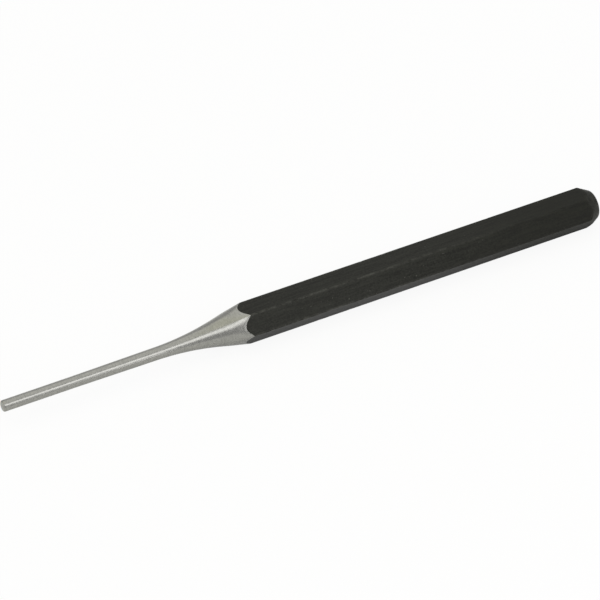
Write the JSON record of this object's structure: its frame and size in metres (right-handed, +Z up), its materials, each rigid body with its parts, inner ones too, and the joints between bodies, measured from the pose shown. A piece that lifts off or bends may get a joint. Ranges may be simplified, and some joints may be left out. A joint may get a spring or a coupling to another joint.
{
  "type": "pin punch",
  "caption": "Hexagonal-bar pin punch with a slender ground pin, a hollow-curved neck, scalloped black flats and a chamfered struck end.",
  "frame": {"origin": "on the flat that the tool lies on, half way along the tool, under its axis", "axes": "+X along the tool's axis, from the working tip to the struck end; +Z up from the flat it lies on; +Y across the bar, corner to corner"},
  "size_m": [0.175, 0.0114, 0.01],
  "materials": {
    "ground_steel": "fine turned and ground, grinding lines round the axis",
    "black_steel": "matt black oxide over drawn hexagonal bar"
  },
  "bodies": {
    "root": {"pin": "ground_steel", "neck": "ground_steel", "hex_shank": "black_steel", "struck_end": "black_steel"}
  },
  "joints": []
}
